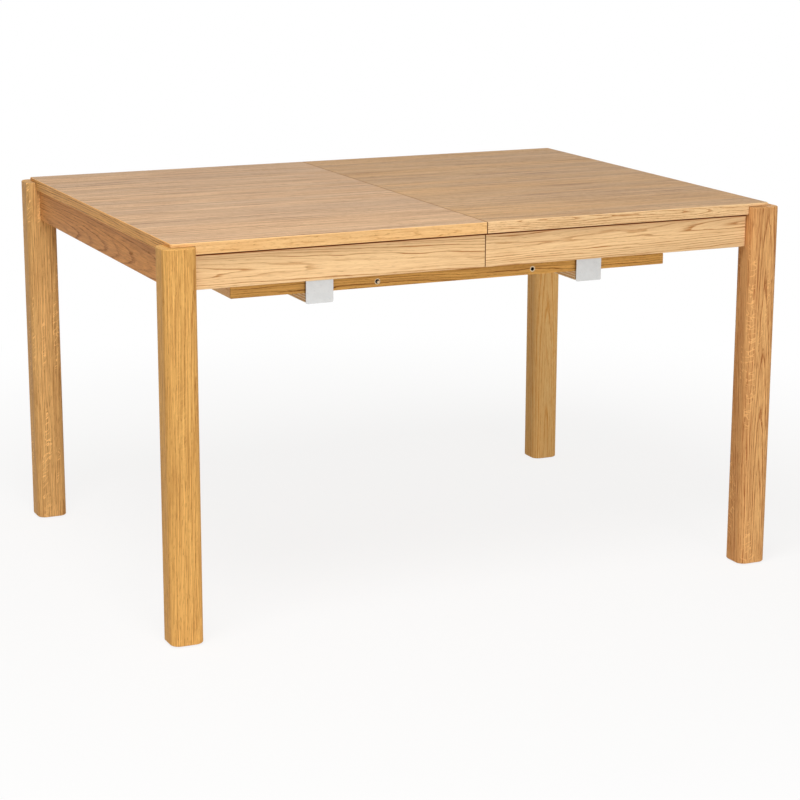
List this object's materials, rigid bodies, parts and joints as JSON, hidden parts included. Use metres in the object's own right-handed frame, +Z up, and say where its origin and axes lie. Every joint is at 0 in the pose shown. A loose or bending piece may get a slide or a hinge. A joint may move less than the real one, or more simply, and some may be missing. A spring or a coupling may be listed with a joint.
{
  "type": "extending dining table",
  "caption": "Rectangular extending dining table: a split oak top on rounded square legs slides apart on runners, with a loose leaf stored in a cradle underneath.",
  "frame": {"origin": "on the floor, at the centre of the closed table's footprint", "axes": "+X along the table towards the right half, -Y towards the front as pictured, +Z up"},
  "size_m": [1.292, 0.972, 0.75],
  "materials": {
    "oak_veneer": "matt oiled oak, grain along the table",
    "oak_lipping_long": "matt oiled oak lipping",
    "oak_lipping_cross": "matt oiled oak lipping, grain across the table",
    "oak_leg": "matt oiled oak, upright grain",
    "oak_side_apron": "matt oiled oak",
    "oak_end_apron": "matt oiled oak, grain across the table",
    "beech": "waxed beech",
    "plywood": "birch plywood, bare edges",
    "hanger_plate": "satin zinc-plated sheet",
    "zinc_steel": "zinc-plated steel",
    "pin_metal": "nickel-plated steel",
    "glide_nylon": "brown nylon"
  },
  "bodies": {
    "left_half": {"left_apron_dowels": "beech", "left_back_apron": "oak_side_apron", "left_back_leg": "oak_leg", "left_back_runner": "beech", "left_corner_brackets": "zinc_steel", "left_end_apron": "oak_end_apron", "left_frame_screws": "zinc_steel", "left_front_apron": "oak_side_apron", "left_front_leg": "oak_leg", "left_front_runner": "beech", "left_leg_bolts": "zinc_steel", "left_leg_glides": "glide_nylon", "left_leg_nuts": "zinc_steel", "left_runner_screws": "zinc_steel", "left_seam_bush": "pin_metal", "left_seam_pin": "pin_metal", "left_top_angles": "zinc_steel", "left_top_end_lippings": "oak_lipping_cross", "left_top_panel": "oak_veneer", "left_top_side_lippings": "oak_lipping_long", "seam_latch_pivot": "zinc_steel"},
    "carriage": {"back_middle_runner": "beech", "front_middle_runner": "beech", "hanger_screws": "zinc_steel", "left_back_leaf_hanger": "hanger_plate", "left_front_leaf_hanger": "hanger_plate", "left_leaf_batten": "plywood", "right_back_leaf_hanger": "hanger_plate", "right_front_leaf_hanger": "hanger_plate", "right_leaf_batten": "plywood", "stop_pegs": "zinc_steel"},
    "right_half": {"right_apron_dowels": "beech", "right_back_apron": "oak_side_apron", "right_back_leg": "oak_leg", "right_back_runner": "beech", "right_corner_brackets": "zinc_steel", "right_end_apron": "oak_end_apron", "right_frame_screws": "zinc_steel", "right_front_apron": "oak_side_apron", "right_front_leg": "oak_leg", "right_front_runner": "beech", "right_leg_bolts": "zinc_steel", "right_leg_glides": "glide_nylon", "right_leg_nuts": "zinc_steel", "right_runner_screws": "zinc_steel", "right_seam_bush": "pin_metal", "right_seam_pin": "pin_metal", "right_top_angles": "zinc_steel", "right_top_end_lippings": "oak_lipping_cross", "right_top_panel": "oak_veneer", "right_top_side_lippings": "oak_lipping_long", "seam_latch_stud": "zinc_steel"},
    "leaf": {"leaf_bushes": "pin_metal", "leaf_end_lippings": "oak_lipping_cross", "leaf_panel": "oak_veneer", "leaf_pins": "pin_metal", "leaf_side_lippings": "oak_lipping_long"},
    "latch": {"seam_latch_hook": "zinc_steel"}
  },
  "joints": [
    {"name": "carriage_slide", "type": "slide", "parent": "left_half", "child": "carriage", "axis": [1, 0, 0], "range_m": [0, 0.35]},
    {"name": "right_half_slide", "type": "slide", "parent": "carriage", "child": "right_half", "axis": [1, 0, 0], "range_m": [0, 0.35]},
    {"name": "leaf_draw", "type": "slide", "parent": "carriage", "child": "leaf", "axis": [-1, 0, 0], "range_m": [0, 1.15]},
    {"name": "latch_turn", "type": "hinge", "parent": "left_half", "child": "latch", "pos_m": [-0.04, 0, 0.7255], "axis": [0, 0, -1], "range_deg": [0, 90]}
  ]
}
